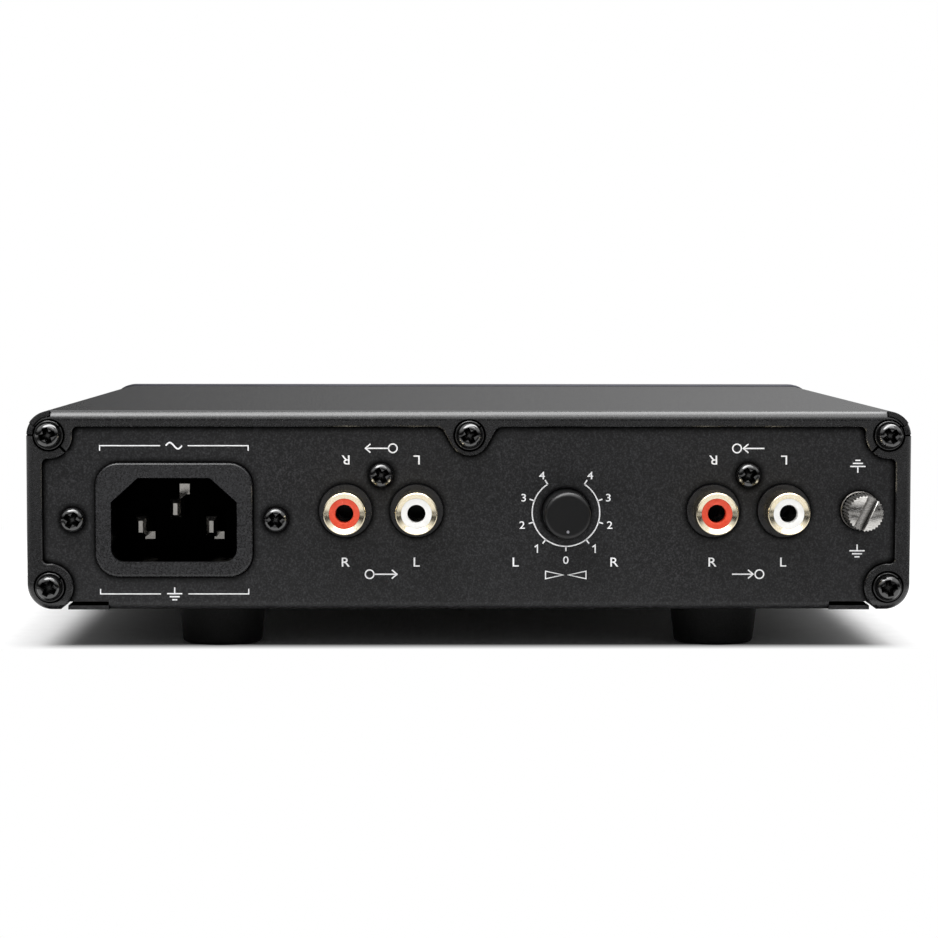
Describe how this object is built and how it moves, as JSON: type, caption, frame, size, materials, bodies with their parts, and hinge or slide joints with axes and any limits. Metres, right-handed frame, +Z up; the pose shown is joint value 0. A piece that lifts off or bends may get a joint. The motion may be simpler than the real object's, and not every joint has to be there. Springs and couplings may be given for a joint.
{
  "type": "phono preamp",
  "caption": "Low mains-powered audio box with phono input and output sockets, a balance knob, a ground terminal and a mains inlet on its rear panel.",
  "frame": {"origin": "on the surface the feet stand on, under the centre of the outline", "axes": "+Z up, +X along the width, the connector panel faces -Y and the fascia faces +Y"},
  "size_m": [0.1754, 0.1654, 0.0484],
  "materials": {
    "powder_coat": "fine-textured satin black powder coat",
    "fascia_anodised": "brushed, black anodised",
    "black_screw": "glossy black oxide",
    "zinc_steel": "zinc plated",
    "inlet_nylon": "moulded black nylon",
    "nickel_plate": "bright nickel plate",
    "socket_moulding": "moulded black plastic",
    "pot_case": "moulded",
    "pot_shaft": "moulded nylon",
    "knob_plastic": "moulded satin black",
    "button_metal": "turned, anodised",
    "switch_case": "moulded",
    "light_pipe": "clear acrylic",
    "led_resin": "tinted clear resin",
    "circuit_board": "green solder mask on glass-epoxy",
    "chip_epoxy": "moulded epoxy",
    "capacitor_sleeve": "shrink sleeve over aluminium can",
    "film_case": "red epoxy box",
    "relay_case": "white moulding",
    "ferrite": "sintered ferrite",
    "winding_tape": "yellow polyester tape",
    "choke_wire": "enamelled copper",
    "fuse_glass": "glass tube with plated caps",
    "heatsink_aluminium": "extruded, natural",
    "header_nylon": "natural nylon",
    "link_ribbon": "grey ribbon",
    "gold_plate": "gold plate",
    "insulator_red": "moulded red",
    "insulator_white": "moulded white",
    "foot_rubber": "moulded black rubber"
  },
  "bodies": {
    "case": {"amplifier_chips": "chip_epoxy", "balance_pot_body": "pot_case", "board_link": "link_ribbon", "board_screws": "zinc_steel", "board_standoffs": "zinc_steel", "bulk_capacitor": "capacitor_sleeve", "chassis": "powder_coat", "cover_screws": "black_screw", "electrolytic_capacitors": "capacitor_sleeve", "fascia_screws": "zinc_steel", "film_capacitors": "film_case", "foot_front_left": "foot_rubber", "foot_front_right": "foot_rubber", "foot_rear_left": "foot_rubber", "foot_rear_right": "foot_rubber", "foot_screws": "zinc_steel", "front_fascia": "fascia_anodised", "fuse_clips": "nickel_plate", "ground_nut": "zinc_steel", "heatsink": "heatsink_aluminium", "inlet_earth_pin": "nickel_plate", "inlet_housing": "inlet_nylon", "inlet_live_pin": "nickel_plate", "inlet_neutral_pin": "nickel_plate", "inlet_nuts": "zinc_steel", "inlet_screws": "black_screw", "input_left_contact": "nickel_plate", "input_left_insulator": "insulator_white", "input_left_shell": "gold_plate", "input_right_contact": "nickel_plate", "input_right_insulator": "insulator_red", "input_right_shell": "gold_plate", "input_socket_block": "socket_moulding", "link_headers": "header_nylon", "main_board": "circuit_board", "mains_choke": "choke_wire", "mains_fuse": "fuse_glass", "output_left_contact": "nickel_plate", "output_left_insulator": "insulator_white", "output_left_shell": "gold_plate", "output_relay": "relay_case", "output_right_contact": "nickel_plate", "output_right_insulator": "insulator_red", "output_right_shell": "gold_plate", "output_socket_block": "socket_moulding", "power_switch_body": "switch_case", "socket_screws": "black_screw", "status_led": "led_resin", "status_light_pipe": "light_pipe", "supply_board": "circuit_board", "top_cover": "powder_coat", "transformer_core": "ferrite", "transformer_winding": "winding_tape", "voltage_regulators": "chip_epoxy"},
    "balance_control": {"balance_knob": "knob_plastic", "balance_pot_shaft": "pot_shaft"},
    "ground_clamp": {"ground_washer": "nickel_plate"},
    "ground_thumbscrew": {"ground_screw": "nickel_plate"},
    "power_push": {"power_button": "button_metal", "power_switch_plunger": "pot_shaft"}
  },
  "joints": [
    {"name": "balance_turn", "type": "hinge", "parent": "case", "child": "balance_control", "pos_m": [0.01905, -0.0738, 0.0279], "axis": [0, -1, 0], "range_deg": [-150, 150]},
    {"name": "ground_clamp_travel", "type": "slide", "parent": "case", "child": "ground_clamp", "axis": [0, -1, 0], "range_m": [0, 0.0028]},
    {"name": "ground_screw_turn", "type": "hinge", "parent": "ground_clamp", "child": "ground_thumbscrew", "pos_m": [0.07705, -0.0738, 0.02835], "axis": [0, -1, 0], "range_deg": [0, 1440.05]},
    {"name": "power_button_press", "type": "slide", "parent": "case", "child": "power_push", "axis": [0, -1, 0], "range_m": [0, 0.002], "stiffness_N_per_m": 800}
  ],
  "couplings": [
    {"joint": "ground_screw_turn", "follows": "ground_clamp_travel", "rad_per_m": 8976}
  ]
}
